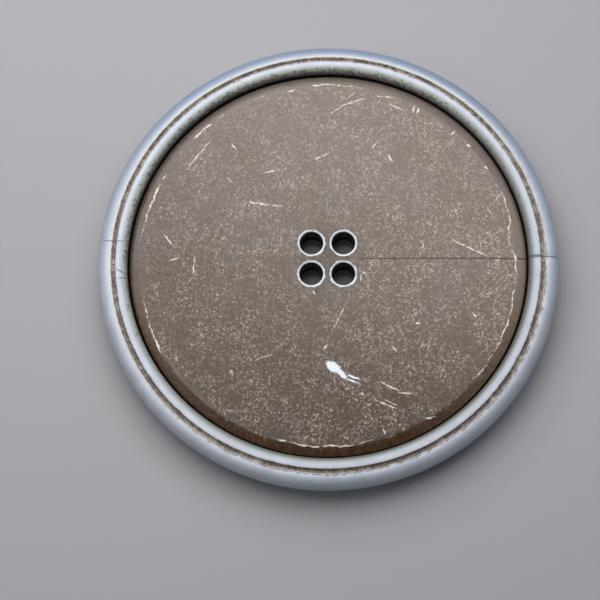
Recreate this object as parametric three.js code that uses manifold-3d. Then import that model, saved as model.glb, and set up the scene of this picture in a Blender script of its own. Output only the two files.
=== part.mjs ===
// A large two-part coat button: a metallised rim cup, a lacquered face disc and the adhesive between them.
// Millimetres, +Z out of the face, origin at the centre of the back.
import * as THREE from 'three';
import { mergeVertices } from 'three/addons/utils/BufferGeometryUtils.js';
import Module from 'manifold-3d';

const wasm = await Module();
wasm.setup();

// Whole button
const OUTER_RADIUS = 25.4;
const TOTAL_HEIGHT = 4.5;
const TURN_STEPS = 72;

// Sewing holes: a square of four, with a smaller bore in the cup than in the disc
const HOLE_PITCH = 3.52;
const DISC_HOLE_RADIUS = 1.27;
const CUP_HOLE_RADIUS = 1.08;
const HOLE_MOUTH_BREAK = 0.2;
const HOLE_STEPS = 24;

// Back of the cup: a flat boss round the holes and a flat outer ring, with a shallow recess between them
const BOSS_RADIUS = 7.0;
const RING_INNER_RADIUS = 18.8;
const RING_OUTER_RADIUS = 22.3;
const BACK_RECESS = 0.4;
const RECESS_DRAFT = 0.3;
const HEEL_RADIUS = 0.7;

// Rim of the cup, from outside to inside
const ROLL_RADIUS = 1.4;
const ROLL_HEIGHT = 2.95;
const ROLL_UNDERCUT_ANGLE = -48;
const GROOVE_CENTRE = 23.55;
const GROOVE_HALF_WIDTH = 0.24;
const GROOVE_DEPTH = 0.3;
const SHOULDER_RADIUS = 0.6;
const WALL_RADIUS = 22.1;
const FLOOR_TOP = 1.75;

// Face disc and the adhesive under it
const DISC_RADIUS = 21.88;
const DISC_UNDERSIDE = 2.05;
const DISC_EDGE_TOP = 3.2;
const DISC_BEVEL_WIDTH = 1.08;
const DISC_BEVEL_RISE = 0.24;
const DISC_CENTRE_TOP = 4.12;
const DISC_LOWER_BREAK = 0.2;
const ADHESIVE_INNER_RADIUS = 4.4;
const ADHESIVE_OUTER_RADIUS = 18.0;

const degrees = THREE.MathUtils.degToRad;

// Points on an arc in the profile plane, both ends included. Angles count from outward, towards up.
function arc(radius, height, size, from, to, steps) {
  return Array.from({ length: steps + 1 }, (_, i) => {
    const angle = degrees(from + ((to - from) * i) / steps);
    return [radius + size * Math.cos(angle), height + size * Math.sin(angle)];
  });
}

// A solid of revolution about +Z, from a profile of [radius, height] points.
function turned(profile, steps = TURN_STEPS) {
  const points = profile.map(([radius, height]) => new THREE.Vector2(radius, height));
  const geometry = new THREE.LatheGeometry(points, steps);
  geometry.rotateX(Math.PI / 2);
  return geometry;
}

// The geometry with shared corners merged, and without the flat triangles at the axis.
function welded(geometry) {
  const bare = geometry.clone();
  bare.deleteAttribute('normal');
  bare.deleteAttribute('uv');
  const merged = mergeVertices(bare);
  const index = merged.getIndex().array;
  const kept = [];
  for (let i = 0; i < index.length; i += 3) {
    const [a, b, c] = index.slice(i, i + 3);
    if (a !== b && b !== c && c !== a) kept.push(a, b, c);
  }
  merged.setIndex(kept);
  return merged;
}

function toSolid(geometry) {
  const mesh = welded(geometry);
  return new wasm.Manifold(
    new wasm.Mesh({
      numProp: 3,
      vertProperties: new Float32Array(mesh.getAttribute('position').array),
      triVerts: new Uint32Array(mesh.getIndex().array),
    }),
  );
}

function toGeometry(solid) {
  const mesh = solid.getMesh();
  const geometry = new THREE.BufferGeometry();
  geometry.setAttribute('position', new THREE.BufferAttribute(mesh.vertProperties, 3));
  geometry.setIndex(new THREE.BufferAttribute(mesh.triVerts, 1));
  geometry.computeVertexNormals();
  return geometry;
}

// Cuts the four sewing holes. The cutter is a plain bore with a cone that breaks the upper mouth's edge.
function withSewingHoles(geometry, radius, mouthHeight, mouthBreak) {
  const reach = 1.0;
  const flare = mouthBreak + reach;
  const cutter = turned(
    [
      [0, -reach],
      [radius, -reach],
      [radius, mouthHeight - mouthBreak],
      [radius + flare, mouthHeight + reach],
      [0, mouthHeight + reach],
    ],
    HOLE_STEPS,
  );
  let solid = toSolid(geometry);
  for (const x of [-HOLE_PITCH / 2, HOLE_PITCH / 2]) {
    for (const y of [-HOLE_PITCH / 2, HOLE_PITCH / 2]) {
      solid = solid.subtract(toSolid(cutter.clone().translate(x, y, 0)));
    }
  }
  return toGeometry(solid);
}

// The metallised dish: stepped back, heel, rolled bead, groove, inner band, shoulder, wall and floor.
function rimCup() {
  const rollCentre = OUTER_RADIUS - ROLL_RADIUS;
  const lipRadius = GROOVE_CENTRE + GROOVE_HALF_WIDTH;
  const lipAngle = THREE.MathUtils.radToDeg(Math.acos((lipRadius - rollCentre) / ROLL_RADIUS));
  const lipHeight = ROLL_HEIGHT + ROLL_RADIUS * Math.sin(degrees(lipAngle));
  const profile = [
    [0, 0],
    [BOSS_RADIUS, 0],
    [BOSS_RADIUS + RECESS_DRAFT, BACK_RECESS],
    [RING_INNER_RADIUS - RECESS_DRAFT, BACK_RECESS],
    [RING_INNER_RADIUS, 0],
    ...arc(RING_OUTER_RADIUS, HEEL_RADIUS, HEEL_RADIUS, -90, ROLL_UNDERCUT_ANGLE, 3),
    ...arc(rollCentre, ROLL_HEIGHT, ROLL_RADIUS, ROLL_UNDERCUT_ANGLE, lipAngle, 12),
    [GROOVE_CENTRE, lipHeight - GROOVE_DEPTH],
    [GROOVE_CENTRE - GROOVE_HALF_WIDTH, TOTAL_HEIGHT],
    ...arc(WALL_RADIUS + SHOULDER_RADIUS, TOTAL_HEIGHT - SHOULDER_RADIUS, SHOULDER_RADIUS, 90, 180, 4),
    [WALL_RADIUS, FLOOR_TOP],
    [0, FLOOR_TOP],
  ];
  return withSewingHoles(turned(profile), CUP_HOLE_RADIUS, FLOOR_TOP, 0);
}

// The lacquered disc: flat underside, straight edge, bevel and a low dome.
function faceDisc() {
  const domeEdge = DISC_RADIUS - DISC_BEVEL_WIDTH;
  const domeFoot = DISC_EDGE_TOP + DISC_BEVEL_RISE;
  const domeRise = DISC_CENTRE_TOP - domeFoot;
  const domeRadius = (domeEdge ** 2 + domeRise ** 2) / (2 * domeRise);
  const footAngle = THREE.MathUtils.radToDeg(Math.acos(domeEdge / domeRadius));
  const profile = [
    [0, DISC_UNDERSIDE],
    [DISC_RADIUS - DISC_LOWER_BREAK, DISC_UNDERSIDE],
    [DISC_RADIUS, DISC_UNDERSIDE + DISC_LOWER_BREAK],
    [DISC_RADIUS, DISC_EDGE_TOP],
    ...arc(0, DISC_CENTRE_TOP - domeRadius, domeRadius, footAngle, 90, 8),
  ];
  profile[profile.length - 1][0] = 0;
  return withSewingHoles(turned(profile), DISC_HOLE_RADIUS, DISC_CENTRE_TOP, HOLE_MOUTH_BREAK);
}

// A flat ring of set adhesive that fills the space between the cup's floor and the disc.
function adhesiveFilm() {
  return turned([
    [ADHESIVE_INNER_RADIUS, FLOOR_TOP],
    [ADHESIVE_OUTER_RADIUS, FLOOR_TOP],
    [ADHESIVE_OUTER_RADIUS, DISC_UNDERSIDE],
    [ADHESIVE_INNER_RADIUS, DISC_UNDERSIDE],
    [ADHESIVE_INNER_RADIUS, FLOOR_TOP],
  ]);
}

function piece(name, geometry, material) {
  const mesh = new THREE.Mesh(geometry, new THREE.MeshStandardMaterial(material));
  mesh.name = name;
  return mesh;
}

const button = new THREE.Group();
button.add(
  piece('rim_cup', rimCup(), { color: 0xb8bec6, roughness: 0.35, metalness: 0.9 }),
  piece('face_disc', faceDisc(), { color: 0x75655b, roughness: 0.45, metalness: 0.0 }),
  piece('adhesive_film', adhesiveFilm(), { color: 0xcfc8b4, roughness: 0.5, metalness: 0.0 }),
);

export default button;
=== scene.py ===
import math

import bmesh
import bpy
from mathutils import Color, Matrix, Vector


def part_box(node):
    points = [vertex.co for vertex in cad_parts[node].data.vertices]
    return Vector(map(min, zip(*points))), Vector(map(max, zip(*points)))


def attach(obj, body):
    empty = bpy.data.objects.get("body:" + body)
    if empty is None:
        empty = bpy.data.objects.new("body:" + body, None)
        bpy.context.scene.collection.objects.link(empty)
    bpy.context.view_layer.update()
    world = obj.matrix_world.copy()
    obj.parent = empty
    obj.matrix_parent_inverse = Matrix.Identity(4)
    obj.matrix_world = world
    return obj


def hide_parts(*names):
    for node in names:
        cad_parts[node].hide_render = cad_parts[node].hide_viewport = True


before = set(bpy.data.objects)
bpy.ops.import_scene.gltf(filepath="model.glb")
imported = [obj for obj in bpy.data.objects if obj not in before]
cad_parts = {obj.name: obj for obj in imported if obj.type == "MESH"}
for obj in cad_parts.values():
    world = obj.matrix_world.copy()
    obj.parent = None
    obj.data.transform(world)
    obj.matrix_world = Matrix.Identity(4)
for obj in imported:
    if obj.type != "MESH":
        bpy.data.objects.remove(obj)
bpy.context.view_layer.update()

bl_info = {
    "name": "Worn coat button",
    "version": (1, 0, 0),
    "blender": (4, 5, 0),
    "location": "3D View > Sidebar > Coat Button",
    "description": "Makes a worn two-part coat button: a metallised rim cup and a lacquered face disc",
    "category": "Object",
}

MM = 0.001
CUP_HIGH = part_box("rim_cup")[1]
DISC_LOW, DISC_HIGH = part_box("face_disc")
FILM_LOW, FILM_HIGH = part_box("adhesive_film")

# Steps round each turned skin, the longest straight run of an outline, and the angle past which an
# edge is sharp
CUP_STEPS, DISC_STEPS, FILM_STEPS, CUTTER_STEPS = 360, 300, 240, 64
LONGEST_RUN = 0.7 * MM
SHARP_ANGLE = math.radians(42)


def length(name, description, default):
    """A size property, in metres."""
    return bpy.props.FloatProperty(
        name=name,
        description=description,
        default=default,
        min=0.0,
        precision=5,
        subtype="DISTANCE",
        unit="LENGTH",
    )


def linear(code):
    """A hex sRGB colour, such as #b8bec8, as linear red, green and blue."""
    shares = [int(code[i : i + 2], 16) / 255 for i in (1, 3, 5)]
    return Color(s / 12.92 if s <= 0.04045 else ((s + 0.055) / 1.055) ** 2.4 for s in shares)


def colour(name, description, code):
    """A colour property. Its default is a hex sRGB colour, kept as linear."""
    return bpy.props.FloatVectorProperty(
        name=name,
        description=description,
        default=linear(code),
        min=0.0,
        max=1.0,
        size=3,
        subtype="COLOR",
    )


# ---------------------------------------------------------------- settings


class ButtonHoles(bpy.types.PropertyGroup):
    """The square of four sewing holes."""

    pitch: length("Pitch", "Side of the square of hole centres", 3.52 * MM)
    disc_radius: length("Disc radius", "Radius of the bore in the disc", 1.27 * MM)
    cup_radius: length("Cup radius", "Radius of the bore in the cup", 1.08 * MM)
    mouth_round: length("Mouth round", "Radius of the mouth's rounded edge", 0.24 * MM)
    back_round: length("Back round", "Rounding of the mouths on the back", 0.2 * MM)


class ButtonCup(bpy.types.PropertyGroup):
    """The metallised cup: back, rolled bead, groove, inner band, shoulder, wall and floor."""

    radius: length("Radius", "Outer radius of the rolled bead", CUP_HIGH.x)
    height: length("Height", "Height of the inner band", CUP_HIGH.z)
    boss_radius: length("Boss radius", "Flat round the holes on the back", 7.0 * MM)
    ring_inner: length("Ring inside", "Inner radius of the back's flat ring", 18.8 * MM)
    ring_outer: length("Ring outside", "Where the heel's rounding starts", 22.3 * MM)
    recess: length("Recess", "Depth of the shallow recess in the back", 0.4 * MM)
    heel_round: length("Heel", "Radius of the heel under the bead", 0.7 * MM)
    roll_radius: length("Roll radius", "Radius of the bead's section", 1.4 * MM)
    roll_height: length("Roll height", "Height of the bead's middle", 2.95 * MM)
    groove_radius: length("Groove radius", "Radius of the fine groove", 23.55 * MM)
    groove_width: length("Groove width", "Width of the fine groove", 0.48 * MM)
    groove_depth: length("Groove depth", "Depth below the bead's lip", 0.26 * MM)
    shoulder: length("Shoulder", "Radius of the inner shoulder", 0.6 * MM)
    wall_radius: length("Wall radius", "Radius of the inner wall", 22.1 * MM)
    floor: length("Floor", "Height of the floor under the disc", 1.75 * MM)


class ButtonDisc(bpy.types.PropertyGroup):
    """The lacquered disc: underside, edge, bevel and low dome."""

    radius: length("Radius", "Radius of the disc's straight edge", DISC_HIGH.x)
    underside: length("Underside", "Height of the flat underside", DISC_LOW.z)
    centre: length("Centre", "Height of the dome's middle", DISC_HIGH.z)
    edge_top: length("Edge top", "Height of the top of the straight edge", 3.2 * MM)
    bevel_width: length("Bevel width", "Width of the clean bevel", 1.08 * MM)
    bevel_rise: length("Bevel rise", "Rise of the bevel towards the dome", 0.24 * MM)


class ButtonFilm(bpy.types.PropertyGroup):
    """The set adhesive between the cup's floor and the disc."""

    inner: length("Inside", "Inner radius of the film", 4.4 * MM)
    outer: length("Outside", "Outer radius of the film", FILM_HIGH.x)
    creep: length("Creep", "How far the squeezed edge wanders in", 0.9 * MM)


class ButtonColours(bpy.types.PropertyGroup):
    """Colours of the finishes."""

    lacquer: colour("Lacquer", "Brown lacquer of the face", "#4c321a")
    # Greyer, paler lacquer for patches, and for a painted sheen towards the back
    lacquer_grey: colour("Grey lacquer", "Its greyer patches", "#4c3d36")
    # Pale key where the lacquer is scuffed, and also the colour of the painted sheen
    worn_and_sheen: colour("Worn lacquer", "Lacquer scuffed through to a pale key", "#c7b9ad")
    bright: colour("Bright", "Scratches and edges worn pale", "#dfdad0")
    chip: colour("Chip", "Bare metallising in chips and round the holes", "#d6dee2")
    bore: colour("Bore", "Grimy walls of the cup's sewing holes", "#8c8780")
    # Near black: dirt in pits and lines, and painted shade in the bores and the gap
    soot_and_shade: colour("Soot", "Packed dirt, in bores, gaps, pits and lines", "#1c1917")
    silver: colour("Silver", "Metallised layer", "#b8bec8")
    # Painted shade: the duller blue on the back of the bead
    blue_bead_shade: colour("Tarnish", "Metallised layer gone dull and blue", "#8592a8")
    cream: colour("Cream", "Plastic where the metallising is rubbed off", "#e2dcc4")
    film: colour("Film", "Dull film on the inner shoulder", "#abb0a8")
    bed: colour("Groove bed", "The groove where the lacquer was wiped out", "#b3ada1")
    crack: colour("Crack", "Weld and gate lines in the metallising", "#4c5a61")
    # Dark olive for grime on the shoulder, and for painted shade near the wall towards the front
    grime_and_shade: colour("Grime", "Dirt in the gap and on the shoulder", "#514f44")
    residue: colour("Residue", "Lacquer left in the groove", "#6f6461")
    glue: colour("Glue", "Set adhesive, still pale", "#d8cba6")
    glue_aged: colour("Aged glue", "Set adhesive gone honey-coloured", "#b59a63")
    table: colour("Table", "The plain pale floor", "#9f9ea1")


# ---------------------------------------------------------------- outlines


def arc(radius, height, size, start, end, steps):
    """Points (radius, height) on an arc about such a point, both ends included. Angles are in
    degrees, and go from outward towards up."""
    turns = [math.radians(start + (end - start) * i / steps) for i in range(steps + 1)]
    return [(radius + size * math.cos(t), height + size * math.sin(t)) for t in turns]


def rounded(corners, steps=6):
    """An outline from corners of (radius, height, rounding). A corner with a rounding becomes an
    arc."""
    points = []
    for i, (r, z, size) in enumerate(corners):
        if not size:
            points.append((r, z))
            continue
        here = Vector((r, z))
        before = (Vector(corners[i - 1][:2]) - here).normalized()
        after = (Vector(corners[i + 1][:2]) - here).normalized()
        half = before.angle(after) / 2
        reach = size / math.tan(half)
        centre = here + (before + after).normalized() * (size / math.sin(half))
        first, last = here + before * reach - centre, here + after * reach - centre
        for k in range(steps + 1):
            spoke = first.lerp(last, k / steps).normalized() * size
            points.append(tuple(centre + spoke))
    return points


def densified(points):
    """The outline with its long straight runs split, so that shading stays even beside the rounded
    corners."""
    dense = [points[0]]
    for (r0, z0), (r1, z1) in zip(points, points[1:]):
        parts = max(1, math.ceil(math.hypot(r1 - r0, z1 - z0) / LONGEST_RUN))
        for k in range(1, parts + 1):
            dense.append((r0 + (r1 - r0) * k / parts, z0 + (z1 - z0) * k / parts))
    return dense


def outline_object(name, points):
    """A mesh of one open line of edges in the XZ plane, for the turning tree to spin."""
    mesh = bpy.data.meshes.new(name)
    edges = [(i, i + 1) for i in range(len(points) - 1)]
    mesh.from_pydata([(r, 0.0, z) for r, z in points], edges, [])
    outline = bpy.data.objects.new(name, mesh)
    bpy.context.scene.collection.objects.link(outline)
    return outline


# ---------------------------------------------------------------- node trees


# The kinds of node used most. RANGE takes a value and its low and high end, and then what these
# ends become, which is 0 and 1 where nothing is said. Nearly all of a noise's values lie between
# LOW and HIGH.
MATH = "ShaderNodeMath"
VECTOR = "ShaderNodeVectorMath"
RANGE = "ShaderNodeMapRange"
NOISE = "ShaderNodeTexNoise"
CELLS = "ShaderNodeTexVoronoi"
MIX = "ShaderNodeMix"
LOW, HIGH = 0.3, 0.7


def add(tree, kind, inputs=(), **settings):
    """Adds a node with its settings. Its inputs are in order, or a dict by name or number: a value,
    a colour, a socket, or a node, whose first output is meant."""
    node = tree.nodes.new(kind)
    for name, value in settings.items():
        setattr(node, name, value)
    pairs = inputs.items() if isinstance(inputs, dict) else enumerate(inputs)
    for key, value in pairs:
        if isinstance(key, int):
            socket = node.inputs[key]
        else:
            socket = next(s for s in node.inputs if s.enabled and s.name == key)
        if isinstance(value, bpy.types.Node):
            value = next(s for s in value.outputs if s.enabled)
        if isinstance(value, bpy.types.NodeSocket):
            tree.links.new(value, socket)
        elif isinstance(value, Color):
            socket.default_value = (*value, 1.0)
        else:
            socket.default_value = value
    return node


def new_tree(name, sizes):
    """A Geometry Nodes tree with a geometry in and out and the named inputs, and its input node."""
    tree = bpy.data.node_groups.new(name, "GeometryNodeTree")
    tree.interface.new_socket("Geometry", in_out="INPUT", socket_type="NodeSocketGeometry")
    tree.interface.new_socket("Geometry", in_out="OUTPUT", socket_type="NodeSocketGeometry")
    for label, kind in sizes.items():
        tree.interface.new_socket(label, in_out="INPUT", socket_type=kind)
    return tree, tree.nodes.new("NodeGroupInput")


def turning_tree():
    """Spins the object's outline round +Z into a closed skin, a grid whose columns are turned
    copies of it."""
    tree, given = new_tree("Turn an outline", {"Steps": "NodeSocketInt", "Material": "NodeSocketMaterial"})
    outline, steps = given.outputs["Geometry"], given.outputs["Steps"]
    count = add(tree, "GeometryNodeAttributeDomainSize", {"Geometry": outline}).outputs["Point Count"]
    columns = add(tree, MATH, (steps, 1.0), operation="ADD")
    grid = add(tree, "GeometryNodeMeshGrid", {"Vertices X": columns, "Vertices Y": count})
    index = add(tree, "GeometryNodeInputIndex")
    along = add(tree, MATH, (index, count), operation="MODULO")
    across = add(tree, MATH, (index, count), operation="DIVIDE")
    column = add(tree, MATH, (across,), operation="FLOOR")
    step = add(tree, MATH, (2 * math.pi, steps), operation="DIVIDE")
    angle = add(tree, MATH, (column, step), operation="MULTIPLY")
    point = add(
        tree,
        "GeometryNodeSampleIndex",
        {"Geometry": outline, "Value": add(tree, "GeometryNodeInputPosition"), "Index": along},
        data_type="FLOAT_VECTOR",
    )
    spun = add(tree, "ShaderNodeVectorRotate", {"Vector": point, "Angle": angle}, rotation_type="Z_AXIS")
    skin = add(tree, "GeometryNodeSetPosition", {"Geometry": grid, "Position": spun})
    closeness = 0.0005 * MM
    closed = add(tree, "GeometryNodeMergeByDistance", {"Geometry": skin, "Distance": closeness})
    real = add(tree, "GeometryNodeRealizeInstances", {"Geometry": closed})
    material = given.outputs["Material"]
    painted = add(tree, "GeometryNodeSetMaterial", {"Geometry": real, "Material": material})
    add(tree, "NodeGroupOutput", {"Geometry": painted})
    return tree


def piercing_tree():
    """Cuts a square of four equal holes through the skin with copies of a cutter."""
    sizes = {"Cutter": "NodeSocketObject", "Pitch": "NodeSocketFloat", "Material": "NodeSocketMaterial"}
    tree, given = new_tree("Pierce sewing holes", sizes)
    pitch = given.outputs["Pitch"]
    corners = {"Size X": pitch, "Size Y": pitch, "Vertices X": 2, "Vertices Y": 2}
    square = add(tree, "GeometryNodeMeshGrid", corners)
    cutter = add(tree, "GeometryNodeObjectInfo", {"Object": given.outputs["Cutter"]}).outputs["Geometry"]
    copies = add(tree, "GeometryNodeInstanceOnPoints", {"Points": square, "Instance": cutter})
    cutters = add(tree, "GeometryNodeRealizeInstances", {"Geometry": copies})
    both = {0: given.outputs["Geometry"], 1: cutters}
    cut = add(tree, "GeometryNodeMeshBoolean", both, operation="DIFFERENCE", solver="EXACT")
    real = add(tree, "GeometryNodeRealizeInstances", {"Geometry": cut})
    material = given.outputs["Material"]
    painted = add(tree, "GeometryNodeSetMaterial", {"Geometry": real, "Material": material})
    add(tree, "NodeGroupOutput", {"Geometry": painted})
    return tree


def give(piece, tree, values):
    """Adds a Geometry Nodes modifier to the piece and sets its inputs by their sockets'
    identifiers."""
    modifier = piece.modifiers.new(tree.name, "NODES")
    modifier.node_group = tree
    for item in tree.interface.items_tree:
        if item.in_out == "INPUT" and item.name in values:
            modifier[item.identifier] = values[item.name]


def made_plain(piece, name):
    """Replaces the piece by the plain mesh that its modifiers make, with outward normals and smooth
    shading."""
    graph = bpy.context.evaluated_depsgraph_get()
    mesh = bpy.data.meshes.new_from_object(piece.evaluated_get(graph), depsgraph=graph)
    bpy.data.objects.remove(piece)
    shell = bmesh.new()
    shell.from_mesh(mesh)
    closeness = 0.0002 * MM
    bmesh.ops.remove_doubles(shell, verts=shell.verts, dist=closeness)
    bmesh.ops.recalc_face_normals(shell, faces=shell.faces)
    shell.to_mesh(mesh)
    shell.free()
    mesh.name = name
    mesh.shade_smooth()
    mesh.set_sharp_from_angle(angle=SHARP_ANGLE)
    plain = bpy.data.objects.new(name, mesh)
    bpy.context.scene.collection.objects.link(plain)
    return plain


def turned(name, outline, steps, material):
    """A closed skin turned from an outline."""
    piece = outline_object(name + "_outline", outline)
    give(piece, turning_tree(), {"Steps": steps, "Material": material})
    return piece


def hole_cutter(radius, low, low_round, high, high_round):
    """A cutter for one hole, from below low to above high: a bore that opens out at both mouths, so
    that their edges come out rounded."""
    past = 1.0 * MM
    flare = 0.3 * MM
    rise = 0.1 * MM
    low_side = radius + low_round + flare
    high_side = radius + high_round + flare
    outline = [(0, low - past), (low_side, low - past), (low_side, low - rise)]
    outline += arc(radius + low_round, low + low_round, low_round, 270, 180, steps=8)
    outline += arc(radius + high_round, high - high_round, high_round, 180, 90, steps=10)
    outline += [(high_side, high + rise), (high_side, high + past), (0, high + past)]
    cutter = turned("hole_cutter", outline, CUTTER_STEPS, None)
    return made_plain(cutter, "hole_cutter")


def pierced(piece, name, cutter, pitch, material):
    """The turned piece with the sewing holes cut, as a plain mesh."""
    give(piece, piercing_tree(), {"Cutter": cutter, "Pitch": pitch, "Material": material})
    plain = made_plain(piece, name)
    bpy.data.objects.remove(cutter)
    return plain


# ---------------------------------------------------------------- materials


class Look:
    """A material being made: its node tree, and the place on the piece in millimetres, so that the
    Scale of every pattern is in waves to the millimetre."""

    def __init__(self, name):
        self.material = bpy.data.materials.new(name)
        self.material.use_nodes = True
        self.tree = tree = self.material.node_tree
        tree.nodes.clear()
        metres = add(tree, "ShaderNodeTexCoord").outputs["Object"]
        self.place = add(tree, VECTOR, {"Vector": metres, "Scale": 1 / MM}, operation="SCALE")
        apart = add(tree, "ShaderNodeSeparateXYZ", (self.place,))
        self.x, self.y, self.z = apart.outputs
        self.flat = add(tree, "ShaderNodeCombineXYZ", (self.x, self.y))
        self.radius = add(tree, VECTOR, (self.flat,), operation="LENGTH").outputs["Value"]

    def finish(self, tint, metal, roughness, height):
        """Joins the patterns to the shader. height is in metres, so the relief has its real depth."""
        tree = self.tree
        bump = add(tree, "ShaderNodeBump", {"Strength": 1.0, "Distance": 1.0, "Height": height})
        finish = {"Base Color": tint, "Metallic": metal, "Roughness": roughness, "Normal": bump}
        shader = add(tree, "ShaderNodeBsdfPrincipled", finish)
        add(tree, "ShaderNodeOutputMaterial", {"Surface": shader})
        return self.material


def layered(look, tint, layers):
    """The colour of a surface under layers of (share, colour), bottom first. Each hides all below
    it where its share is 1."""
    for share, tone in layers:
        tint = add(look.tree, MIX, {"Factor": share, "A": tint, "B": tone}, data_type="RGBA")
    return tint


def ring(look, centre, half_width, softness):
    """1 on a ring about +Z at that radius, 0 off it. All in millimetres, and each may be a socket."""
    tree = look.tree
    off = add(tree, MATH, (look.radius, centre), operation="SUBTRACT")
    away = add(tree, MATH, (off,), operation="ABSOLUTE")
    past = add(tree, MATH, (away, half_width), operation="SUBTRACT")
    return add(tree, RANGE, (past, softness, 0.0), interpolation_type="SMOOTHSTEP")


def nicks(look, spacing, longest, width, seed, rareness, stretch=1.0):
    """Short nicks, one to a cell of a random pattern, each turned its own way. spacing, longest and
    width are in mm. A higher rareness leaves fewer strong ones, and stretch, which may be a socket,
    lengthens them."""
    tree = look.tree
    shifted = add(tree, VECTOR, (look.flat, (seed * 7.3, seed * 3.1, 0)), operation="ADD")
    spread = {"Vector": shifted, "Scale": 1 / spacing, "Randomness": 0.9}
    cells = add(tree, CELLS, spread, voronoi_dimensions="2D")
    offset = add(tree, VECTOR, (shifted, cells.outputs["Position"]), operation="SUBTRACT")
    chance = add(tree, VECTOR, (cells.outputs["Color"], (0.5, 0.5, 0.0)), operation="SUBTRACT")
    aim = add(tree, VECTOR, (chance, (1.0, 1.0, 0.0)), operation="MULTIPLY")
    direction = add(tree, VECTOR, (aim,), operation="NORMALIZE")
    reach = add(tree, VECTOR, (aim,), operation="LENGTH").outputs["Value"]
    reach = add(tree, MATH, (reach, longest), operation="MULTIPLY")
    reach = add(tree, MATH, (reach, stretch), operation="MULTIPLY")
    reach = add(tree, MATH, (reach, width / 2), operation="MAXIMUM")
    along = add(tree, VECTOR, (offset, direction), operation="DOT_PRODUCT").outputs["Value"]
    along = add(tree, MATH, (along, reach), operation="DIVIDE")
    aside = add(tree, VECTOR, (offset, direction), operation="CROSS_PRODUCT")
    aside = add(tree, VECTOR, (aside,), operation="LENGTH").outputs["Value"]
    aside = add(tree, MATH, (aside, width / 2), operation="DIVIDE")
    away = add(tree, "ShaderNodeCombineXYZ", (along, aside))
    away = add(tree, VECTOR, (away,), operation="LENGTH").outputs["Value"]
    mark = add(tree, RANGE, (away, 1.0, 0.15), interpolation_type="SMOOTHSTEP")
    strength = add(tree, VECTOR, (chance, (0.0, 0.0, 1.0)), operation="DOT_PRODUCT").outputs["Value"]
    strength = add(tree, MATH, (strength, rareness), operation="POWER")
    return add(tree, MATH, (mark, strength), operation="MULTIPLY")


def gouges(look, marks, wobble):
    """1 on each long mark of the list, 0 off them. A mark is (x, y, length, width, angle), in mm
    and degrees."""
    tree = look.tree
    grain = add(tree, NOISE, {"Vector": look.flat, "Scale": 1.6, "Detail": 3.0}).outputs["Color"]
    sway, centring = (wobble, wobble, 0.0), (-wobble / 2, -wobble / 2, 1.0)
    shift = add(tree, VECTOR, (grain, sway, centring), operation="MULTIPLY_ADD")
    place = add(tree, VECTOR, (look.flat, shift), operation="ADD")
    # place is (x, y, 1), so that one product with a vector both turns it and takes it from the
    # mark's middle
    nearest = 10.0
    for x, y, reach, width, angle in marks:
        c, s = math.cos(math.radians(angle)), math.sin(math.radians(angle))
        lengthwise = Vector((c, s, -c * x - s * y)) * (2 / reach)
        crosswise = Vector((-s, c, s * x - c * y)) * (2 / width)
        along = add(tree, VECTOR, (place, lengthwise), operation="DOT_PRODUCT").outputs["Value"]
        aside = add(tree, VECTOR, (place, crosswise), operation="DOT_PRODUCT").outputs["Value"]
        away = add(tree, MATH, (along, along), operation="MULTIPLY")
        away = add(tree, MATH, (aside, aside, away), operation="MULTIPLY_ADD")
        nearest = add(tree, MATH, (away, nearest), operation="MINIMUM")
    return add(tree, RANGE, (nearest, 1.0, 0.35), interpolation_type="SMOOTHSTEP")


# Rubbing's soft specks: pitch in mm, cut, softness, seed and weight
SPECKS = [(0.40, 0.49, 0.2, 1, 0.20), (1.1, 0.5, 0.3, 3, 0.12)]

# Rubbing's nicks, the finest first: spacing, longest and width in mm, seed, rareness and weight
NICKS = [
    (0.34, 0.20, 0.27, 1, 2.0, 0.56),
    (0.48, 0.36, 0.26, 2, 2.4, 0.64),
    (0.72, 0.70, 0.20, 3, 2.6, 0.62),
    (1.30, 1.25, 0.16, 4, 3.0, 0.75),
    (2.60, 2.30, 0.13, 5, 3.6, 0.85),
]

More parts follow.
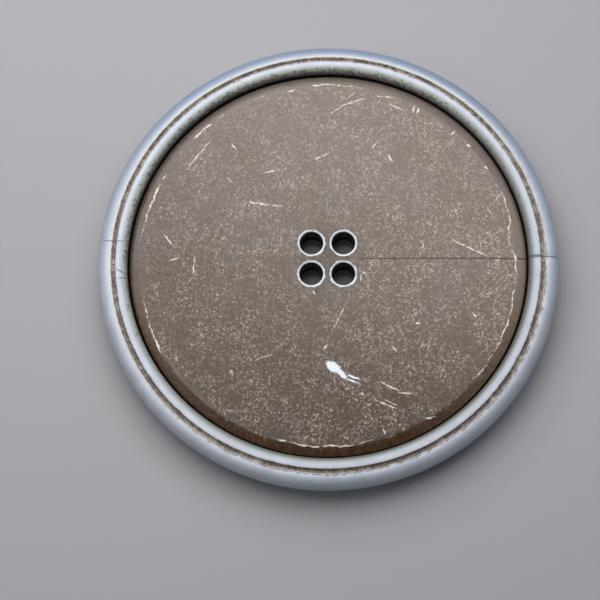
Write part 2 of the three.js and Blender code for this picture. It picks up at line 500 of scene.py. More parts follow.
# Long marks worn through the lacquer: x, y, length and width in mm, and angle
SCRATCHES = [
    (-7.7, 6.4, 2.9, 0.30, -9),
    (-5.6, 6.1, 1.6, 0.16, -4),
    (1.0, 17.7, 2.2, 0.16, 34),
    (3.0, 18.7, 3.8, 0.18, 19),
    (6.5, 19.3, 2.8, 0.16, -6),
    (7.8, 18.0, 2.9, 0.14, -24),
    (-4.0, 20.1, 1.6, 0.18, 13),
    (5.3, 13.4, 1.4, 0.14, 56),
    (9.7, 17.8, 1.2, 0.32, 76),
    (10.2, 17.6, 0.8, 0.24, 64),
    (7.0, 11.7, 1.2, 0.34, -63),
    (10.4, 1.1, 2.2, 0.14, 72),
    (15.6, 1.3, 4.9, 0.22, -25),
    (1.4, -6.5, 4.4, 0.14, 64),
    (-17.8, 2.5, 2.6, 0.22, -54),
    (-16.9, 0.0, 1.5, 0.20, 22),
    (-14.7, -0.8, 2.6, 0.18, 87),
    (-14.4, 12.5, 4.9, 0.16, 53),
    (-10.6, 13.3, 1.0, 0.22, -55),
    (-10.9, 9.2, 1.0, 0.20, -46),
    (-6.3, 10.2, 2.5, 0.16, 14),
    (-0.7, 12.0, 2.3, 0.16, 25),
    (-1.5, -3.8, 0.9, 0.20, -57),
    (4.0, -1.7, 0.9, 0.18, -37),
    (3.7, -2.2, 1.1, 0.14, 90),
    (-0.2, -10.0, 0.9, 0.24, 46),
    (-6.8, -11.1, 2.9, 0.12, 20),
    (7.3, -10.2, 1.1, 0.20, -54),
    (9.8, -7.3, 0.5, 0.34, 10),
    (11.1, -17.6, 1.3, 0.24, 10),
    (6.1, -19.1, 0.8, 0.20, -63),
    (-10.3, -12.8, 0.8, 0.40, -71),
    (14.1, 14.9, 0.9, 0.24, 46),
    (15.8, 13.4, 0.6, 0.26, -36),
    (17.7, 10.8, 0.6, 0.28, -48),
    (16.3, 4.6, 0.9, 0.20, -42),
    (16.0, -6.3, 0.8, 0.26, -47),
    (6.3, -16.2, 3.0, 0.24, -23),
    (6.8, -16.0, 1.9, 0.14, -23),
    (6.0, -13.9, 0.8, 0.26, -30),
    (7.0, -14.4, 1.8, 0.26, -23),
    (8.5, -15.0, 2.1, 0.22, -5),
    (3.8, -15.1, 0.5, 0.30, -34),
]

# The one big chip and its streaky tail
CHIP = [
    (0.7, -12.2, 2.3, 1.15, -38),
    (1.6, -13.0, 1.6, 0.7, -42),
    (2.9, -13.3, 1.8, 0.30, -22),
    (2.7, -13.7, 1.5, 0.22, -21),
]

# The gate's hairline marks on the left of the rim, in the same order
GATE_MARKS = [
    (-23.5, 1.9, 3.4, 0.13, -4),
    (-22.7, -1.6, 1.4, 0.16, -30),
    (-22.5, -2.4, 1.0, 0.12, 0),
]

# Where the dome's corner has worn most, and the one notch in it: direction and half width in
# degrees about +Z
WORN_SIDES = [(-6, 34), (88, 6), (134, 4), (162, 8), (-158, 8), (-92, 14)]
NOTCH = [(6.5, 0.5)]


def specks(look, pitch, cut, soft, seed):
    """Irregular soft specks of fine noise, pitch mm apart. A higher cut leaves fewer and smaller
    ones."""
    tree = look.tree
    shifted = add(tree, VECTOR, (look.flat, (seed * 5.7, seed * 9.1, 0)), operation="ADD")
    fine = {"Vector": shifted, "Scale": 1 / pitch, "Detail": 3.0, "Roughness": 0.6}
    grain = add(tree, NOISE, fine, noise_dimensions="2D")
    return add(tree, RANGE, (grain, cut, cut + soft), interpolation_type="SMOOTHSTEP")


def sectors(look, spans):
    """1 over each span of direction about +Z and 0 between them. A span is (middle, half width) in
    degrees."""
    tree = look.tree
    blur = 6
    toward = add(tree, VECTOR, (look.flat,), operation="NORMALIZE")
    covered = 0.0
    for middle, half in spans:
        aim = (math.cos(math.radians(middle)), math.sin(math.radians(middle)), 0)
        near = add(tree, VECTOR, (toward, aim), operation="DOT_PRODUCT").outputs["Value"]
        edge = math.cos(math.radians(half + blur))
        full = math.cos(math.radians(max(half - blur, 0)))
        near = add(tree, RANGE, (near, edge, full), interpolation_type="SMOOTHSTEP")
        covered = add(tree, MATH, (near, covered), operation="MAXIMUM")
    return covered


def lacquer_coat(look, tones):
    """The coat: greyer in patches and towards the back, where the grey stands in part for a painted
    sheen, mottled as it flowed, darker round the holes, and darker at the front as painted shade.
    Gives its colour, and the mottle."""
    tree = look.tree
    patches = add(tree, NOISE, {"Vector": look.flat, "Scale": 0.11, "Detail": 3.0, "Roughness": 0.6})
    # Part painted sheen: the slope towards the back greys and pales the lacquer as a sheen does
    greyness = add(tree, MATH, (look.y, 0.014, patches), operation="MULTIPLY_ADD")
    greyness = add(tree, RANGE, (greyness, 0.42, 0.66), interpolation_type="SMOOTHSTEP")
    tint = layered(look, tones.lacquer, [(greyness, tones.lacquer_grey)])
    mottle = add(tree, NOISE, {"Vector": look.place, "Scale": 1.9, "Detail": 5.0, "Roughness": 0.75})
    shade = add(tree, RANGE, (mottle, LOW, HIGH, 0.45, 1.6))
    # Darker round the holes
    deeper = add(tree, RANGE, (look.radius, 1.5, 6.0, 0.58, 1.0), interpolation_type="SMOOTHSTEP")
    # Painted shade: the lacquer darkens towards the front
    front_shade = add(tree, RANGE, (look.y, -18.0, -3.0, 0.6, 1.0), interpolation_type="SMOOTHSTEP")
    for depth in (shade, deeper, front_shade):
        tint = add(tree, VECTOR, (tint, depth), operation="MULTIPLY")
    return tint, mottle


def rubbing(look, on_face):
    """How pale the lacquer is: soft specks and turned nicks of many sizes left by rubbing, crowded in
    some places, a smear round the holes, and a painted sheen that grows towards the back right. The
    nicks lengthen towards the back right and the scuffs thin towards the back, slants that paint part
    of the light's fall across the face. All are faint amid the holes."""
    tree = look.tree
    cloud = add(tree, NOISE, {"Vector": look.flat, "Scale": 0.3, "Detail": 5.0, "Roughness": 0.7})
    crowd = add(tree, RANGE, (cloud, 0.36, 0.64, 0.15, 1.5))
    # Painted light, in part: the nicks lengthen towards the back right, to paint some of the light's fall
    # across the face
    slant = add(tree, VECTOR, (look.flat, (0.7, 0.7, 0.0)), operation="DOT_PRODUCT").outputs["Value"]
    stretch = add(tree, RANGE, (slant, -16.0, 14.0, 0.5, 1.5))
    scuffs = 0.0
    for pitch, cut, soft, seed, weight in SPECKS:
        layer = specks(look, pitch, cut, soft, seed)
        scuffs = add(tree, MATH, (layer, weight, scuffs), operation="MULTIPLY_ADD")
    for spacing, longest, width, seed, rareness, weight in NICKS:
        layer = nicks(look, spacing, longest, width, seed, rareness, stretch)
        scuffs = add(tree, MATH, (layer, weight, scuffs), operation="MULTIPLY_ADD")
    # Painted light, in part: the scuffs thin towards the back, to paint some of the light's fall across
    # the face
    upward = add(tree, VECTOR, (look.flat, (-0.3, 0.8, 0.0)), operation="DOT_PRODUCT").outputs["Value"]
    painted_light_thinning = add(tree, RANGE, (upward, -16.0, 16.0, 1.05, 0.7))
    calm = add(tree, RANGE, (look.radius, 1.5, 5.5, 0.35, 1.0))
    for share in (crowd, painted_light_thinning, calm):
        scuffs = add(tree, MATH, (scuffs, share), operation="MULTIPLY")
    near_holes = add(tree, RANGE, (look.radius, 6.5, 2.2), interpolation_type="SMOOTHSTEP")
    smear = add(tree, NOISE, {"Vector": look.flat, "Scale": 1.1, "Detail": 5.0, "Roughness": 0.7})
    smear = add(tree, RANGE, (smear, 0.42, 0.75, 0.0, 0.3), interpolation_type="SMOOTHSTEP")
    for share in (near_holes, calm):
        smear = add(tree, MATH, (smear, share), operation="MULTIPLY")
    # Painted sheen: the lacquer is paled more and more towards the back right
    sheen_slant = add(tree, VECTOR, (look.flat, (0.6, 0.85, 0.0)), operation="DOT_PRODUCT").outputs["Value"]
    painted_sheen = add(tree, RANGE, (sheen_slant, -12.0, 12.0, 0.0, 0.15))
    painted_sheen = add(tree, MATH, (painted_sheen, calm), operation="MULTIPLY")
    paleness = add(tree, MATH, (scuffs, smear), operation="ADD")
    return add(tree, MATH, (paleness, on_face, painted_sheen), operation="MULTIPLY_ADD", use_clamp=True)


def weld_line(look):
    """1 on the thin dark line where the moulding's two flows met, from beyond the holes to the
    right-hand edge."""
    tree = look.tree
    sway = add(tree, NOISE, {"Vector": look.flat, "Scale": 0.35, "Detail": 2.0})
    sway = add(tree, RANGE, (sway, LOW, HIGH, -0.11, -0.07))
    course = add(tree, MATH, (look.x, 0.0115, sway), operation="MULTIPLY_ADD")
    across = add(tree, MATH, (look.y, course), operation="SUBTRACT")
    across = add(tree, MATH, (across,), operation="ABSOLUTE")
    line = add(tree, RANGE, (across, 0.09, 0.02), interpolation_type="SMOOTHSTEP")
    beyond = add(tree, RANGE, (look.x, 3.3, 3.8))
    return add(tree, MATH, (line, beyond), operation="MULTIPLY")


def worn_corner(look, face_edge):
    """1 on the thin line, in broken lengths, where the dome's corner above the bevel has worn pale."""
    tree = look.tree
    drift = add(tree, NOISE, {"Vector": look.flat, "Scale": 0.3, "Detail": 3.0, "Roughness": 0.6})
    line_radius = add(tree, RANGE, (drift, LOW, HIGH, face_edge - 0.3, face_edge + 0.25))
    line_radius = add(tree, MATH, (sectors(look, NOTCH), -0.55, line_radius), operation="MULTIPLY_ADD")
    rubbed = add(tree, NOISE, {"Vector": look.flat, "Scale": 0.9, "Detail": 6.0, "Roughness": 0.7})
    rubbed = add(tree, MATH, (sectors(look, WORN_SIDES), 0.16, rubbed), operation="MULTIPLY_ADD")
    half_width = add(tree, RANGE, (rubbed, 0.52, 0.8, -0.14, 0.06))
    return ring(look, line_radius, half_width, 0.13)


def hole_marks(look, holes, face_height):
    """1 on the ragged bright mouths of the sewing holes, and 1 inside their bores."""
    tree = look.tree
    folded = add(tree, VECTOR, (look.flat,), operation="ABSOLUTE")
    half = holes.pitch / 2 / MM
    from_hole = add(tree, VECTOR, (folded, (half, half, 0.0)), operation="SUBTRACT")
    from_hole = add(tree, VECTOR, (from_hole,), operation="LENGTH").outputs["Value"]
    ragged = add(tree, NOISE, {"Vector": look.place, "Scale": 1.8, "Detail": 3.0})
    ragged = add(tree, RANGE, (ragged, LOW, HIGH, -0.06, 0.08))
    ragged = add(tree, MATH, (from_hole, ragged), operation="ADD")
    bore = holes.disc_radius / MM
    rim = (holes.disc_radius + holes.mouth_round) / MM
    mouth = add(tree, RANGE, (ragged, rim + 0.08, rim - 0.06), interpolation_type="SMOOTHSTEP")
    top = face_height - holes.mouth_round / MM
    above = add(tree, RANGE, (look.z, top - 0.05, top + 0.06), interpolation_type="SMOOTHSTEP")
    mouth = add(tree, MATH, (mouth, above), operation="MULTIPLY")
    # The bores, where the lacquer is painted near black as shade
    inside = add(tree, RANGE, (from_hole, bore + 0.06, bore + 0.01))
    return mouth, inside


def brown_lacquer(settings):
    """Brown acrylic lacquer sprayed over silver metallising, and scuffed by years of rubbing. It
    gives the eye a satin face under a broad soft highlight, helped by a painted sheen towards the
    back and painted shade at the front, thick with fine pale scuffs that show the key coat, long
    scratches and a corner worn pale, bare metal in the chip and round the holes, and painted shade,
    near black, in the bores and down the straight edge."""
    holes, disc, tones = settings.button_holes, settings.button_disc, settings.button_colours
    look = Look("worn_brown_lacquer")
    tree = look.tree
    tint, mottle = lacquer_coat(look, tones)

    # The rubbed face ends raggedly at the bevel
    face_edge = (disc.radius - disc.bevel_width) / MM
    uneven = add(tree, NOISE, {"Vector": look.flat, "Scale": 0.7, "Detail": 4.0})
    uneven = add(tree, RANGE, (uneven, LOW, HIGH, -0.5, 0.5))
    reach = add(tree, MATH, (look.radius, uneven), operation="ADD")
    on_face = add(tree, RANGE, (reach, face_edge + 0.3, face_edge - 0.6), interpolation_type="SMOOTHSTEP")
    paleness = rubbing(look, on_face)
    pits = nicks(look, 1.7, 0.3, 0.24, 9, 9.0)
    pits = add(tree, MATH, (pits, on_face), operation="MULTIPLY", use_clamp=True)
    weld = weld_line(look)

    # Scratches down to the key coat, each fading in and out along its length
    broken = add(tree, NOISE, {"Vector": look.flat, "Scale": 1.8, "Detail": 4.0, "Roughness": 0.7})
    broken = add(tree, RANGE, (broken, 0.36, 0.58), interpolation_type="SMOOTHSTEP")
    scratched = add(tree, MATH, (gouges(look, SCRATCHES, 0.22), broken), operation="MULTIPLY")

    # Bare metal, and painted shade, near black, in the bores and down the straight edge
    mouth, inside = hole_marks(look, holes, disc.centre / MM)
    chip = gouges(look, CHIP, 0.5)
    bare = add(tree, MATH, (mouth, chip), operation="MAXIMUM")
    edge_top = disc.edge_top / MM
    # Painted shade, near black, down the straight edge in the gap
    below = add(tree, RANGE, (look.z, edge_top - 0.1, edge_top - 0.25))
    layers = [
        # Pale rubbing, with the painted sheen laid in the same colour
        (paleness, tones.worn_and_sheen),
        (pits, tones.soot_and_shade),
        (weld, tones.soot_and_shade),
        (scratched, tones.bright),
        (worn_corner(look, face_edge), tones.bright),
        (bare, tones.chip),
        # Painted shade, near black, down the straight edge and in the bores
        (below, tones.soot_and_shade),
        (inside, tones.soot_and_shade),
    ]
    tint = layered(look, tint, layers)

    # Satin where it is rubbed, duller where it is pale, and glossier on the bevel, which nothing
    # has rubbed
    metal = add(tree, MATH, (chip, 0.2), operation="MULTIPLY")
    dullness = add(tree, RANGE, (mottle, LOW, HIGH, 0.22, 0.30))
    dullness = add(tree, MATH, (on_face, 0.16, dullness), operation="MULTIPLY_ADD")
    roughness = add(tree, MATH, (paleness, 0.25, dullness), operation="MULTIPLY_ADD", use_clamp=True)

    # Relief: the coat rises and falls a little with its flow, and dips along the weld line
    ripple = add(tree, MATH, (mottle, 0.010 * MM), operation="MULTIPLY")
    height = add(tree, MATH, (weld, -0.015 * MM, ripple), operation="MULTIPLY_ADD")
    return look.finish(tint, metal, roughness, height)


def groove_marks(look, cup, tones, upper, on_top, grain):
    """The groove's finish, as layers: the lip beside it rubbed to the plastic, its bed where the
    lacquer was wiped out, and the lacquer left in it."""
    tree = look.tree
    groove = cup.groove_radius / MM
    half_groove = cup.groove_width / 2 / MM
    drift = add(tree, NOISE, {"Vector": look.place, "Scale": 1.6, "Detail": 5.0, "Roughness": 0.75})
    half_width = add(tree, RANGE, (drift, 0.38, 0.62, -0.14, 0.16))
    lip = ring(look, groove + half_groove + 0.08, half_width, 0.16)
    lip_share = add(tree, RANGE, (upper, -10.0, 10.0, 0.75, 0.65))
    creamy = add(tree, RANGE, (upper, -14.0, 8.0))
    lip_tone = layered(look, tones.residue, [(creamy, tones.cream)])

    bed = ring(look, groove, half_groove, 0.14)
    wander = add(tree, NOISE, {"Vector": look.place, "Scale": 0.8, "Detail": 3.0})
    centre = add(tree, RANGE, (wander, LOW, HIGH, groove - 0.07, groove + 0.03))
    caught = add(tree, NOISE, {"Vector": look.place, "Scale": 2.2, "Detail": 5.0, "Roughness": 0.8})
    amount = add(tree, RANGE, (caught, 0.34, 0.6, 0.0, 0.25))
    residue = ring(look, centre, amount, 0.14)
    # Wiping strokes ran across the groove, so a pattern of direction alone breaks it up
    around = add(tree, VECTOR, (look.flat,), operation="NORMALIZE")
    fine = {"Vector": around, "Scale": 0.6 * groove, "Detail": 7.0, "Roughness": 0.85}
    strokes = add(tree, NOISE, fine)
    strokes = add(tree, MATH, (caught, 0.35, strokes), operation="MULTIPLY_ADD")
    strokes = add(tree, RANGE, (strokes, 0.58, 0.70, 0.15, 1.0), interpolation_type="SMOOTHSTEP")
    tone = add(tree, RANGE, (grain, LOW, HIGH, 0.35, 1.9))
    brown = add(tree, VECTOR, (tuple(tones.residue), tone), operation="MULTIPLY")

    lip = add(tree, MATH, (lip, lip_share), operation="MULTIPLY")
    residue = add(tree, MATH, (residue, strokes), operation="MULTIPLY")
    layers = [(lip, lip_tone), (bed, tones.bed), (residue, brown)]
    return [(add(tree, MATH, (mark, on_top), operation="MULTIPLY"), tone) for mark, tone in layers]


def inner_dirt(look, cup, holes, tones, upper):
    """The inner side's finish, as layers: a dull film on the shoulder, specks of grime on it, grime
    down towards the wall that grows towards the front as painted shade, painted shade, near black,
    down the wall and on the floor, and a dull grey in the bores."""
    tree = look.tree
    wall = cup.wall_radius / MM
    shoulder = cup.shoulder / MM
    brow = wall + shoulder
    within = add(tree, RANGE, (look.radius, brow + 0.2, brow - 0.15))
    above_back = add(tree, RANGE, (look.z, cup.recess / MM + 0.15, cup.recess / MM + 0.25))
    within = add(tree, MATH, (within, above_back), operation="MULTIPLY")
    film = add(tree, RANGE, (upper, -22.0, 22.0, 0.45, 0.85))
    film = add(tree, MATH, (film, within), operation="MULTIPLY")

    specked = add(tree, NOISE, {"Vector": look.place, "Scale": 2.4, "Detail": 5.0, "Roughness": 0.75})
    specked = add(tree, MATH, (upper, 0.0035, specked), operation="MULTIPLY_ADD")
    threshold = add(tree, RANGE, (look.radius, brow + 0.2, wall + 0.1, 0.68, 0.5))
    spots = add(tree, MATH, (specked, threshold), operation="SUBTRACT")
    spots = add(tree, RANGE, (spots, -0.03, 0.15, 0.0, 0.8), interpolation_type="SMOOTHSTEP")
    spots = add(tree, MATH, (spots, within), operation="MULTIPLY")
    # Grime down towards the wall, heavier towards the front as painted shade
    shoulder_grime_and_shade = add(tree, RANGE, (look.radius, brow + 0.1, wall + 0.1), interpolation_type="SMOOTHSTEP")
    low_side = add(tree, RANGE, (upper, -18.0, 10.0, 0.85, 0.2))
    for share in (within, low_side):
        shoulder_grime_and_shade = add(tree, MATH, (shoulder_grime_and_shade, share), operation="MULTIPLY")

    # Painted shade: near black down the wall and on the floor, below the shoulder
    foot = cup.height / MM - shoulder
    deep = add(tree, RANGE, (look.z, foot - 0.2, foot - 0.6), interpolation_type="SMOOTHSTEP")
    deep = add(tree, MATH, (deep, within), operation="MULTIPLY")
    pitch, floor = holes.pitch / MM, cup.floor / MM
    bored = add(tree, RANGE, (look.radius, pitch + 1.2, pitch + 1.0))
    sides = add(tree, RANGE, (look.z, floor - 0.02, floor - 0.1))
    bored = add(tree, MATH, (bored, sides), operation="MULTIPLY")
    return [
        (film, tones.film),
        (spots, tones.grime_and_shade),
        (shoulder_grime_and_shade, tones.grime_and_shade),
        (deep, tones.soot_and_shade),
        (bored, tones.bore),
    ]


def rim_lines(look, cup, on_top):
    """The weld line across the rim with the shallow sink beside it, and the gate's marks on the
    other side. Gives how dark the lines are, the lines themselves, and the sink."""
    tree = look.tree
    groove = cup.groove_radius / MM
    half_groove = cup.groove_width / 2 / MM
    side = add(tree, MATH, (look.y, 0.12), operation="SUBTRACT")
    side = add(tree, MATH, (side,), operation="ABSOLUTE")
    weld = add(tree, RANGE, (side, 0.09, 0.03), interpolation_type="SMOOTHSTEP")
    sink = add(tree, RANGE, (side, 0.45, 0.0), interpolation_type="SMOOTHSTEP")
    right = add(tree, RANGE, (look.x, 15.0, 16.0))
    weld = add(tree, MATH, (weld, right), operation="MULTIPLY")
    sink = add(tree, MATH, (sink, right), operation="MULTIPLY")
    gate = add(tree, MATH, (gouges(look, GATE_MARKS, 0.1), on_top), operation="MULTIPLY")
    crack = add(tree, MATH, (weld, gate), operation="MAXIMUM")
    halo = add(tree, RANGE, (look.radius, groove, groove - half_groove - 0.2, 0.0, 0.5))
    halo = add(tree, MATH, (halo, sink), operation="MULTIPLY")
    darkness = add(tree, MATH, (crack, 0.8, halo), operation="MULTIPLY_ADD", use_clamp=True)
    return darkness, crack, sink


def metallised_plastic(settings):
    """ABS with a vacuum-metallised layer under a thin clear coat. It gives the eye a satin silver
    with a blue cast, painted shade that turns the bead duller and bluer at the back, cream beside the
    groove where it is rubbed through, brown lacquer caught in the groove, grime on the shoulder that
    grows towards the front as painted shade, and painted shade, near black, down in the gap."""
    cup, holes, tones = settings.button_cup, settings.button_holes, settings.button_colours
    look = Look("metallised_plastic")
    tree = look.tree

    cloud = add(tree, NOISE, {"Vector": look.place, "Scale": 0.6, "Detail": 4.0, "Roughness": 0.6})
    shade = add(tree, RANGE, (cloud, LOW, HIGH, 0.92, 1.06))
    silver = add(tree, VECTOR, (tuple(tones.silver), shade), operation="MULTIPLY")
    grain = add(tree, NOISE, {"Vector": look.place, "Scale": 4.5, "Detail": 3.0, "Roughness": 0.7})

    # upper is how far a place lies towards the back left, and on_top tells the face from the bead's
    # side
    upper = add(tree, VECTOR, (look.flat, (-0.5, 0.85, 0.0)), operation="DOT_PRODUCT").outputs["Value"]
    on_top = add(tree, RANGE, (look.z, cup.roll_height / MM, cup.roll_height / MM + 0.5))
    groove = cup.groove_radius / MM
    outward = add(tree, RANGE, (look.radius, groove + 0.3, groove + 0.9), interpolation_type="SMOOTHSTEP")
    # Painted shade: the bead turns duller and bluer towards the back
    back_bead_shade = add(tree, RANGE, (look.y, 0.0, 20.0, 0.0, 0.85))
    back_bead_shade = add(tree, MATH, (back_bead_shade, outward), operation="MULTIPLY")
    groove_layers = groove_marks(look, cup, tones, upper, on_top, grain)
    dirt_layers = inner_dirt(look, cup, holes, tones, upper)
    darkness, crack, sink = rim_lines(look, cup, on_top)
    layers = [(back_bead_shade, tones.blue_bead_shade), *groove_layers, *dirt_layers, (darkness, tones.crack)]
    tint = layered(look, silver, layers)

    # No metal shows where anything lies on it or has taken it off, nor under the painted shade in
    # the gap, and there it is duller
    (lip, _), (bed, _), (residue, _) = groove_layers
    (film, _), _, _, (deep, _), _ = dirt_layers
    covered = lip
    for share in (bed, residue, film, deep):
        covered = add(tree, MATH, (covered, share), operation="MAXIMUM")
    metal = add(tree, RANGE, (covered, 0.0, 1.0, 0.5, 0.0))
    satin = add(tree, RANGE, (grain, LOW, HIGH, 0.57, 0.65))
    roughness = add(tree, MATH, (covered, 0.25, satin), operation="MULTIPLY_ADD", use_clamp=True)

    # Relief: a faint orange peel, the sunk lines, and the lumps of lacquer
    height = add(tree, MATH, (cloud, 0.020 * MM), operation="MULTIPLY")
    for share, rise in ((crack, -0.02 * MM), (sink, -0.03 * MM), (residue, 0.03 * MM)):
        height = add(tree, MATH, (share, rise, height), operation="MULTIPLY_ADD")
    return look.finish(tint, metal, roughness, height)


def set_adhesive(settings):
    """Contact adhesive that has set: clear once, now honey-coloured, with a soft skin and small
    bubbles."""
    tones = settings.button_colours
    look = Look("set_adhesive")
    tree = look.tree
    age = add(tree, NOISE, {"Vector": look.place, "Scale": 0.5, "Detail": 3.0})
    tint = layered(look, tones.glue, [(age, tones.glue_aged)])
    bubbles = add(tree, CELLS, {"Vector": look.place, "Scale": 1.4}, feature="SMOOTH_F1")
    dimple = add(tree, RANGE, (bubbles, 0.0, 0.35, -0.03 * MM, 0.0), interpolation_type="SMOOTHSTEP")
    roughness = add(tree, RANGE, (age, LOW, HIGH, 0.35, 0.5))
    return look.finish(tint, 0.0, roughness, dimple)


def pale_floor(settings):
    """A plain matt painted board: pale, even and without a pattern."""
    look = Look("pale_matt_board")
    tree = look.tree
    grain = add(tree, NOISE, {"Vector": look.place, "Scale": 1.2, "Detail": 2.0})
    roughness = add(tree, RANGE, (grain, LOW, HIGH, 0.7, 0.78))
    height = add(tree, MATH, (grain, 0.002 * MM), operation="MULTIPLY")
    return look.finish(settings.button_colours.table, 0.0, roughness, height)


# ---------------------------------------------------------------- pieces


def lip_point(cup):
    """Angle and height of the bead's lip, where its round section meets the groove."""
    lip_radius = cup.groove_radius + cup.groove_width / 2
    angle = math.acos((lip_radius - (cup.radius - cup.roll_radius)) / cup.roll_radius)
    return math.degrees(angle), cup.roll_height + cup.roll_radius * math.sin(angle)


def cup_outline(cup):
    """The cup's section, from the middle of the back round the bead to the middle of the floor."""
    draft = 0.3 * MM
    soft = 0.15 * MM
    back = rounded(
        [
            (0, 0, 0),
            (cup.boss_radius, 0, soft),
            (cup.boss_radius + draft, cup.recess, soft),
            (cup.ring_inner - draft, cup.recess, soft),
            (cup.ring_inner, 0, soft),
            (cup.ring_outer, 0, 0),
        ]
    )
    undercut = -48
    heel = arc(cup.ring_outer, cup.heel_round, cup.heel_round, -90, undercut, steps=8)
    lip_angle, lip_height = lip_point(cup)
    roll_middle = cup.radius - cup.roll_radius
    roll = arc(roll_middle, cup.roll_height, cup.roll_radius, undercut, lip_angle, steps=40)
    half = cup.groove_width / 2
    inner_lip = cup.groove_radius - half
    trough_top = lip_height - cup.groove_depth
    groove = rounded(
        [
            (*roll[-3], 0),
            (*roll[-1], 0.05 * MM),
            (cup.groove_radius + 0.45 * half, trough_top, 0.06 * MM),
            (cup.groove_radius - 0.45 * half, trough_top, 0.06 * MM),
            (inner_lip, cup.height, 0.07 * MM),
            (inner_lip - 2 * half, cup.height, 0),
        ],
        steps=4,
    )[1:-1]
    shoulder_middle = cup.wall_radius + cup.shoulder
    shoulder = arc(shoulder_middle, cup.height - cup.shoulder, cup.shoulder, 90, 180, steps=12)
    well = rounded([(*shoulder[-1], 0), (cup.wall_radius, cup.floor, 0.25 * MM), (0, cup.floor, 0)])[1:]
    return densified(back + heel[1:] + roll[1:-2] + groove + shoulder + well)


def disc_outline(disc):
    """The disc's section, from the middle of its underside round its edge to the top of the dome."""
    foot_radius = disc.radius - disc.bevel_width
    foot_height = disc.edge_top + disc.bevel_rise
    rise = disc.centre - foot_height
    dome_radius = (foot_radius**2 + rise**2) / (2 * rise)
    foot_angle = math.degrees(math.acos(foot_radius / dome_radius))
    dome = arc(0, disc.centre - dome_radius, dome_radius, foot_angle, 90, steps=40)
    edge = rounded(
        [
            (0, disc.underside, 0),
            (disc.radius, disc.underside, 0.2 * MM),
            (disc.radius, disc.edge_top, 0.14 * MM),
            (*dome[0], 1.5 * MM),
            (*dome[1], 0),
        ]
    )
    return densified(edge[:-1]) + dome[1:-1] + [(0, disc.centre)]


def film_outline(film):
    """The adhesive's section: a thin ring with soft edges, closed on itself."""
    low, high = FILM_LOW.z, FILM_HIGH.z
    soft = 0.12 * MM
    middle = (film.inner + film.outer) / 2
    corners = [
        (middle, low, 0),
        (film.outer, low, soft),
        (film.outer, high, soft),
        (film.inner, high, soft),
        (film.inner, low, soft),
        (middle, low, 0),
    ]
    return densified(rounded(corners))


def belongs(piece, node):
    """Makes the piece move with the one body, and hides the CAD node that it stands in for."""
    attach(piece, "root")
    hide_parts(node)


def squeeze(mesh, film):
    """Draws both edges of the film in by a wandering amount, as glue spreads when it is squeezed."""
    middle = (film.inner + film.outer) / 2
    for vertex in mesh.vertices:
        x, y, z = vertex.co
        spread = math.hypot(x, y)
        angle = math.atan2(y, x)
        lobes = sum(math.sin(n * angle + n * n) / n for n in (3, 5, 8, 13, 21))
        share = (spread - middle) / (film.outer - middle)
        pull = film.creep * 0.5 * (1 + lobes / 1.2) * max(0.0, min(1.0, abs(share))) ** 3
        scale = (spread - math.copysign(max(0.0, pull), share)) / spread
        vertex.co = (x * scale, y * scale, z)


class BUTTON_OT_rim_cup(bpy.types.Operator):
    """Turns the metallised cup and pierces its sewing holes"""

    bl_idname = "coat_button.rim_cup"
    bl_label = "Rim Cup"

    def execute(self, context):
        scene = context.scene
        cup, holes = scene.button_cup, scene.button_holes
        material = metallised_plastic(scene)
        skin = turned("rim_cup_body", cup_outline(cup), CUP_STEPS, material)
        cutter = hole_cutter(holes.cup_radius, 0.0, holes.back_round, cup.floor, 0.05 * MM)
        piece = pierced(skin, "rim_cup_body", cutter, holes.pitch, material)
        belongs(piece, "rim_cup")
        return {"FINISHED"}


class BUTTON_OT_face_disc(bpy.types.Operator):
    """Turns the lacquered disc and pierces its sewing holes"""

    bl_idname = "coat_button.face_disc"
    bl_label = "Face Disc"

    def execute(self, context):
        scene = context.scene
        disc, holes = scene.button_disc, scene.button_holes
        material = brown_lacquer(scene)
        skin = turned("face_disc_body", disc_outline(disc), DISC_STEPS, material)
        mouth_height = disc.centre - 0.01 * MM
        low, low_round = disc.underside, 0.06 * MM
        cutter = hole_cutter(holes.disc_radius, low, low_round, mouth_height, holes.mouth_round)
        piece = pierced(skin, "face_disc_body", cutter, holes.pitch, material)
        belongs(piece, "face_disc")
        return {"FINISHED"}


class BUTTON_OT_adhesive(bpy.types.Operator):
    """Makes the ring of set adhesive under the disc, with edges that wander as squeezed glue does"""

    bl_idname = "coat_button.adhesive"
    bl_label = "Adhesive"

    def execute(self, context):
        scene = context.scene
        film = scene.button_film
        piece = turned("adhesive_body", film_outline(film), FILM_STEPS, set_adhesive(scene))
        piece = made_plain(piece, "adhesive_body")
        squeeze(piece.data, film)
        belongs(piece, "adhesive_film")
        return {"FINISHED"}


class BUTTON_OT_stage(bpy.types.Operator):
    """Lays the plain floor and sets the soft studio light and the camera"""

    bl_idname = "coat_button.stage"
    bl_label = "Stage"

    def execute(self, context):
        scene = context.scene
        lay_floor(scene)
        light_studio(scene)
        set_camera(scene)
        return {"FINISHED"}


def lay_floor(scene):
    """A large plain board just under the button."""
    half = 4.0
    level = -0.02 * MM
    mesh = bpy.data.meshes.new("floor")
    corners = [(-half, -half, level), (half, -half, level), (half, half, level), (-half, half, level)]
    mesh.from_pydata(corners, [], [(0, 1, 2, 3)])
    mesh.materials.append(pale_floor(scene))
    floor = bpy.data.objects.new("floor", mesh)
    scene.collection.objects.link(floor)


# The softboxes: name, place and width in metres, watts, and tone
SOFTBOXES = [
    ("key", (-0.030, 0.070, 0.143), 0.20, 0.30, "#fffdfb"),
    ("side", (-0.12, -0.065, 0.15), 0.05, 0.025, "#fcfdff"),
    ("fill", (0.10, 0.062, 0.155), 0.07, 0.040, "#f8fcff"),
]


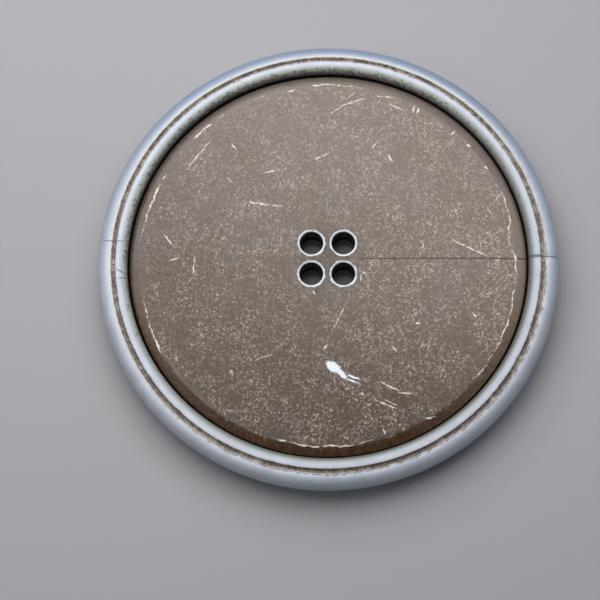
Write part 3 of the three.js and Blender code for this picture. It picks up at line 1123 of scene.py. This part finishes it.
def light_studio(scene):
    """Three round softboxes aimed at the button, a big one over its back and a weak one on each
    side, and a dome that is dark in front and bright behind."""
    scene.view_settings.view_transform = "Standard"
    for name, place, width, watts, tone in SOFTBOXES:
        light = bpy.data.lights.new(name, "AREA")
        light.shape = "DISK"
        light.size = width
        light.energy = watts
        light.color = linear(tone)
        lamp = bpy.data.objects.new(name, light)
        lamp.location = place
        lamp.rotation_mode = "QUATERNION"
        lamp.rotation_quaternion = lamp.location.to_track_quat("Z", "Y")
        scene.collection.objects.link(lamp)

    world = bpy.data.worlds.new("studio")
    scene.world = world
    world.use_nodes = True
    tree = world.node_tree
    tree.nodes.clear()
    direction = add(tree, "ShaderNodeTexCoord").outputs["Generated"]
    backward = add(tree, VECTOR, (direction, (-0.15, 0.98, 0.0)), operation="DOT_PRODUCT").outputs["Value"]
    back = add(tree, RANGE, (backward, -0.6, 0.6), interpolation_type="SMOOTHSTEP")
    height = add(tree, "ShaderNodeSeparateXYZ", (direction,)).outputs["Z"]
    high = add(tree, RANGE, (height, 0.1, 0.75), interpolation_type="SMOOTHSTEP")
    low_sky, high_sky, front = linear("#7e8aa0"), linear("#b8bcc2"), linear("#525255")
    behind = add(tree, MIX, {"Factor": high, "A": low_sky, "B": high_sky}, data_type="RGBA")
    sky = add(tree, MIX, {"Factor": back, "A": front, "B": behind}, data_type="RGBA")
    background = add(tree, "ShaderNodeBackground", {"Color": sky, "Strength": 1.0})
    add(tree, "ShaderNodeOutputWorld", {"Surface": background})


def set_camera(scene):
    """Looks down at the button from in front, a little off its axis and slightly rolled."""
    lens_mm, sensor_mm = 90.0, 36.0
    azimuth, elevation, roll = math.radians(5.81), math.radians(74.6), math.radians(-5.57)
    distance = 168.4 * MM
    shift_right, shift_up = 3.10 * MM, 3.56 * MM
    raise_by = 0.2 * MM
    back = Vector(
        (
            math.sin(azimuth) * math.cos(elevation),
            -math.cos(azimuth) * math.cos(elevation),
            math.sin(elevation),
        )
    )
    level = Vector((0, 0, 1)).cross(back).normalized()
    upright = back.cross(level)
    right = level * math.cos(roll) + upright * math.sin(roll)
    up = upright * math.cos(roll) - level * math.sin(roll)
    data = bpy.data.cameras.new("camera")
    data.lens = lens_mm
    data.sensor_width = sensor_mm
    data.clip_start = 0.005
    camera = bpy.data.objects.new("camera", data)
    place = back * distance - right * shift_right - up * shift_up + Vector((0, 0, raise_by))
    turn = Matrix((right, up, back)).transposed().to_4x4()
    camera.matrix_world = Matrix.Translation(place) @ turn
    scene.collection.objects.link(camera)
    scene.camera = camera


class VIEW3D_PT_coat_button(bpy.types.Panel):
    """Sizes and colours of the button, and the steps that make it"""

    bl_label = "Coat Button"
    bl_idname = "VIEW3D_PT_coat_button"
    bl_space_type = "VIEW_3D"
    bl_region_type = "UI"
    bl_category = "Coat Button"

    def draw(self, context):
        for operator in OPERATORS:
            self.layout.operator(operator.bl_idname)
        for name, group in GROUPS.items():
            box = self.layout.box()
            box.label(text=group.__name__)
            settings = getattr(context.scene, name)
            for field in group.__annotations__:
                box.prop(settings, field)


GROUPS = {
    "button_holes": ButtonHoles,
    "button_cup": ButtonCup,
    "button_disc": ButtonDisc,
    "button_film": ButtonFilm,
    "button_colours": ButtonColours,
}
OPERATORS = (BUTTON_OT_rim_cup, BUTTON_OT_face_disc, BUTTON_OT_adhesive, BUTTON_OT_stage)


def register():
    """Registers the classes and gives the scene its settings."""
    for made in (*GROUPS.values(), *OPERATORS, VIEW3D_PT_coat_button):
        bpy.utils.register_class(made)
    for name, group in GROUPS.items():
        setattr(bpy.types.Scene, name, bpy.props.PointerProperty(type=group))


def unregister():
    """Takes the settings and the classes away again."""
    for name in GROUPS:
        delattr(bpy.types.Scene, name)
    for made in reversed((*GROUPS.values(), *OPERATORS, VIEW3D_PT_coat_button)):
        bpy.utils.unregister_class(made)


def main():
    register()
    bpy.ops.coat_button.rim_cup()
    bpy.ops.coat_button.face_disc()
    bpy.ops.coat_button.adhesive()
    bpy.ops.coat_button.stage()


if __name__ == "__main__":
    main()
